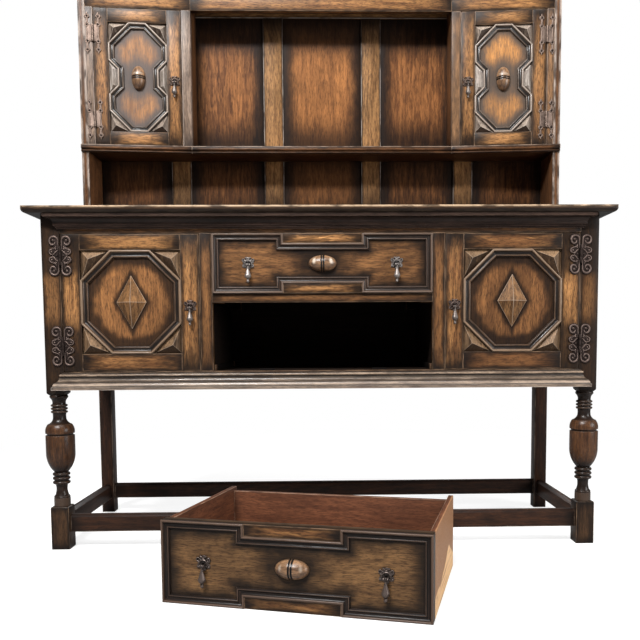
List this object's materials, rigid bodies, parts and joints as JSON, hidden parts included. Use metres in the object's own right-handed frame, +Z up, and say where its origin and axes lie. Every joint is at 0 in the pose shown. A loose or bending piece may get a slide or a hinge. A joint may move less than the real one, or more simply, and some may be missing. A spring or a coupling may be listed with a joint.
{
  "type": "kitchen dresser",
  "caption": "Oak kitchen dresser: cupboard base with panelled doors and drawers on turned legs, and a plate rack with canted cupboards; the lower drawer stands out on the floor.",
  "frame": {"origin": "on the floor, under the middle of the whole with the loose drawer where it stands", "axes": "+X to the right of someone facing the doors, +Y to the back, +Z up"},
  "size_m": [1.524, 1.0478, 1.633],
  "materials": {
    "turned_oak": "dark polished",
    "case_oak": "shaded satin polish",
    "moulding_oak": "dark satin polish",
    "panel_oak": "shaded satin polish",
    "inside_oak": "matt",
    "drawer_oak": "matt stained",
    "hinge_metal": "copper brown, worn",
    "handle_metal": "dark bronze, rubbed"
  },
  "bodies": {
    "dresser": {"front_leg_left": "turned_oak", "front_leg_right": "turned_oak", "rear_legs": "case_oak", "stretchers": "case_oak", "face_frame": "case_oak", "side_rails": "case_oak", "worktop": "case_oak", "rack_sides": "case_oak", "rack_shelf": "case_oak", "rack_stiles": "case_oak", "rack_partitions": "case_oak", "rack_back_frame": "case_oak", "rack_frieze": "case_oak", "rack_top": "case_oak", "crown_moulding": "moulding_oak", "base_moulding": "moulding_oak", "cornice": "moulding_oak", "side_panels": "panel_oak", "rack_back_panels": "panel_oak", "case_bottom": "inside_oak", "case_back": "inside_oak", "partitions": "inside_oak", "cupboard_shelves": "inside_oak", "drawer_runners": "inside_oak", "door_stops": "inside_oak", "hinge_fixed_leaves": "hinge_metal"},
    "lower_left_door": {"lower_left_door_frame": "case_oak", "lower_left_door_panel": "panel_oak", "lower_left_door_mouldings": "moulding_oak", "lower_left_door_ironwork": "hinge_metal"},
    "lower_left_door_pendant": {"lower_left_door_pendant": "handle_metal"},
    "lower_right_door": {"lower_right_door_frame": "case_oak", "lower_right_door_panel": "panel_oak", "lower_right_door_mouldings": "moulding_oak", "lower_right_door_ironwork": "hinge_metal"},
    "lower_right_door_pendant": {"lower_right_door_pendant": "handle_metal"},
    "upper_left_door": {"upper_left_door_frame": "case_oak", "upper_left_door_panel": "panel_oak", "upper_left_door_mouldings": "moulding_oak", "upper_left_door_ironwork": "hinge_metal"},
    "upper_left_door_pendant": {"upper_left_door_pendant": "handle_metal"},
    "upper_right_door": {"upper_right_door_frame": "case_oak", "upper_right_door_panel": "panel_oak", "upper_right_door_mouldings": "moulding_oak", "upper_right_door_ironwork": "hinge_metal"},
    "upper_right_door_pendant": {"upper_right_door_pendant": "handle_metal"},
    "top_drawer": {"top_drawer_front": "case_oak", "top_drawer_box": "drawer_oak", "top_drawer_bottom": "drawer_oak", "top_drawer_mouldings": "moulding_oak", "top_drawer_plates": "handle_metal"},
    "top_drawer_pendant_left": {"top_drawer_pendant_left": "handle_metal"},
    "top_drawer_pendant_right": {"top_drawer_pendant_right": "handle_metal"},
    "lower_drawer": {"lower_drawer_front": "case_oak", "lower_drawer_box": "drawer_oak", "lower_drawer_bottom": "drawer_oak", "lower_drawer_mouldings": "moulding_oak", "lower_drawer_plates": "handle_metal"},
    "lower_drawer_pendant_left": {"lower_drawer_pendant_left": "handle_metal"},
    "lower_drawer_pendant_right": {"lower_drawer_pendant_right": "handle_metal"}
  },
  "joints": [
    {"name": "lower_left_door_hinge", "type": "hinge", "parent": "dresser", "child": "lower_left_door", "pos_m": [-0.67925, 0.03689, 0.47397], "axis": [0, 0, -1], "range_deg": [0, 110]},
    {"name": "lower_left_door_pendant_swing", "type": "hinge", "parent": "lower_left_door", "child": "lower_left_door_pendant", "pos_m": [-0.34652, 0.02989, 0.63896], "axis": [-1, 0, 0], "range_deg": [0, 75]},
    {"name": "lower_right_door_hinge", "type": "hinge", "parent": "dresser", "child": "lower_right_door", "pos_m": [0.67925, 0.03689, 0.47397], "axis": [0, 0, 1], "range_deg": [0, 110]},
    {"name": "lower_right_door_pendant_swing", "type": "hinge", "parent": "lower_right_door", "child": "lower_right_door_pendant", "pos_m": [0.34652, 0.02989, 0.63896], "axis": [-1, 0, 0], "range_deg": [0, 75]},
    {"name": "upper_left_door_hinge", "type": "hinge", "parent": "dresser", "child": "upper_left_door", "pos_m": [-0.68191, 0.38055, 1.146], "axis": [0, 0, -1], "range_deg": [0, 110]},
    {"name": "upper_left_door_pendant_swing", "type": "hinge", "parent": "upper_left_door", "child": "upper_left_door_pendant", "pos_m": [-0.44549, 0.39371, 1.33383], "axis": [-0.9964, -0.0851, 0], "range_deg": [0, 75]},
    {"name": "upper_right_door_hinge", "type": "hinge", "parent": "dresser", "child": "upper_right_door", "pos_m": [0.68191, 0.38055, 1.146], "axis": [0, 0, 1], "range_deg": [0, 110]},
    {"name": "upper_right_door_pendant_swing", "type": "hinge", "parent": "upper_right_door", "child": "upper_right_door_pendant", "pos_m": [0.44549, 0.39371, 1.33383], "axis": [-0.9964, 0.0851, 0], "range_deg": [0, 75]},
    {"name": "top_drawer_slide", "type": "slide", "parent": "dresser", "child": "top_drawer", "axis": [0, -1, 0], "range_m": [0, 0.3]},
    {"name": "top_drawer_pendant_left_swing", "type": "hinge", "parent": "top_drawer", "child": "top_drawer_pendant_left", "pos_m": [-0.19407, 0.02989, 0.74935], "axis": [-1, 0, 0], "range_deg": [0, 75]},
    {"name": "top_drawer_pendant_right_swing", "type": "hinge", "parent": "top_drawer", "child": "top_drawer_pendant_right", "pos_m": [0.19407, 0.02989, 0.74935], "axis": [-1, 0, 0], "range_deg": [0, 75]},
    {"name": "lower_drawer_slide", "type": "slide", "parent": "dresser", "child": "lower_drawer", "axis": [-0.2588, -0.9659, 0], "range_m": [0, 0.35]},
    {"name": "lower_drawer_pendant_left_swing", "type": "hinge", "parent": "lower_drawer", "child": "lower_drawer_pendant_left", "pos_m": [-0.25331, -0.40174, 0.08456], "axis": [-0.9659, 0.2588, 0], "range_deg": [0, 75]},
    {"name": "lower_drawer_pendant_right_swing", "type": "hinge", "parent": "lower_drawer", "child": "lower_drawer_pendant_right", "pos_m": [0.12161, -0.5022, 0.08456], "axis": [-0.9659, 0.2588, 0], "range_deg": [0, 75]}
  ]
}
